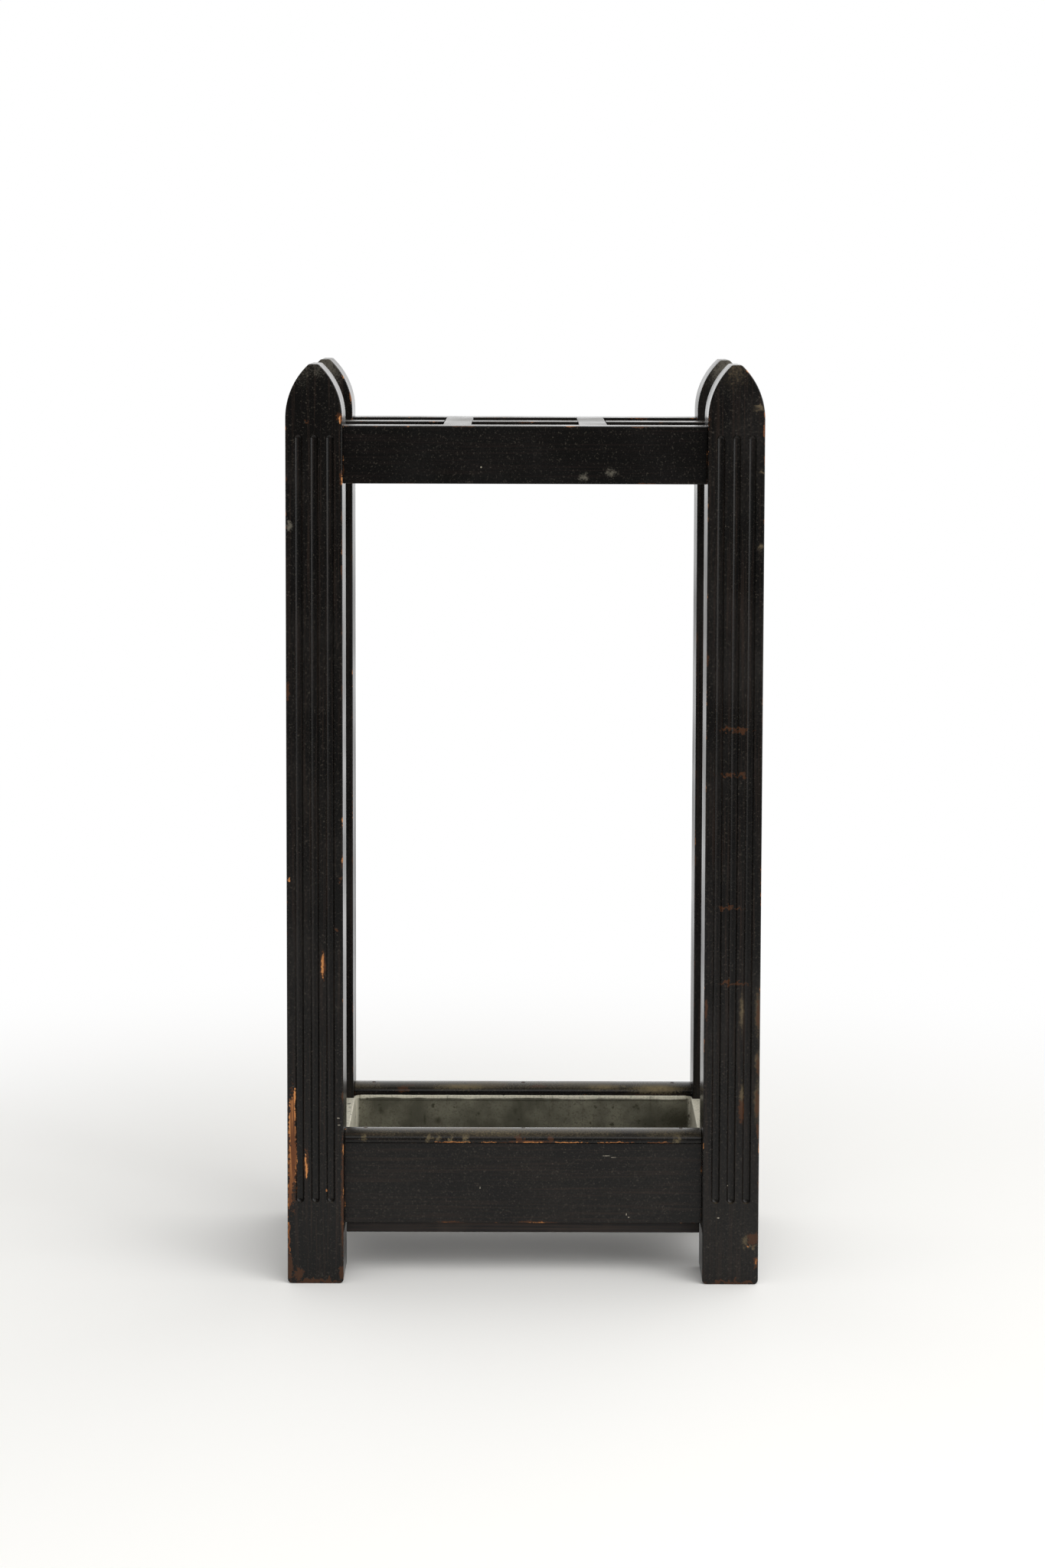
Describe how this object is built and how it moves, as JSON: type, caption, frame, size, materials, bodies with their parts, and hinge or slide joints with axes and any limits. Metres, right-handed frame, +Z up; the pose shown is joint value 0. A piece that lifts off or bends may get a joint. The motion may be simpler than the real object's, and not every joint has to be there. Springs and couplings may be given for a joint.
{
  "type": "umbrella stand",
  "caption": "Ebonised wooden umbrella stand with arch-topped fluted posts, a grid of compartments and a lift-out metal drip tray in a low box.",
  "frame": {"origin": "on the floor under the middle of the stand, at the bottom centre of its box", "axes": "+Z up, front towards -Y, +X to the right seen from the front, so X runs along the stand's width"},
  "size_m": [0.37, 0.183, 0.723],
  "materials": {
    "ebonised_wood": "black stained and varnished hardwood, worn satin, bare brown wood at rubbed edges",
    "bottom_wood": "thin black-stained softwood board, matt and dusty",
    "zinc_sheet": "zinc-coated sheet, dull and stained, pale at the rims",
    "iron_fastener": "blackened iron, slightly rusted"
  },
  "bodies": {
    "stand": {"post_front_left": "ebonised_wood", "post_front_right": "ebonised_wood", "post_back_left": "ebonised_wood", "post_back_right": "ebonised_wood", "top_rail_front": "ebonised_wood", "top_rail_middle": "ebonised_wood", "top_rail_back": "ebonised_wood", "top_rail_left": "ebonised_wood", "top_rail_right": "ebonised_wood", "divider_left": "ebonised_wood", "divider_right": "ebonised_wood", "box_board_front": "ebonised_wood", "box_board_back": "ebonised_wood", "box_board_left": "ebonised_wood", "box_board_right": "ebonised_wood", "cap_front": "ebonised_wood", "cap_back": "ebonised_wood", "bottom_board": "bottom_wood", "bottom_screw_front_left": "iron_fastener", "bottom_screw_front_middle": "iron_fastener", "bottom_screw_front_right": "iron_fastener", "bottom_screw_back_left": "iron_fastener", "bottom_screw_back_middle": "iron_fastener", "bottom_screw_back_right": "iron_fastener", "bottom_screw_end_left": "iron_fastener", "bottom_screw_end_right": "iron_fastener", "cap_pin_front_left": "iron_fastener", "cap_pin_front_middle": "iron_fastener", "cap_pin_front_right": "iron_fastener", "cap_pin_back_left": "iron_fastener", "cap_pin_back_middle": "iron_fastener", "cap_pin_back_right": "iron_fastener"},
    "tray": {"drip_tray": "zinc_sheet"}
  },
  "joints": [
    {"name": "tray_lift", "type": "slide", "parent": "stand", "child": "tray", "axis": [0, 0, 1], "range_m": [0, 0.1]}
  ]
}
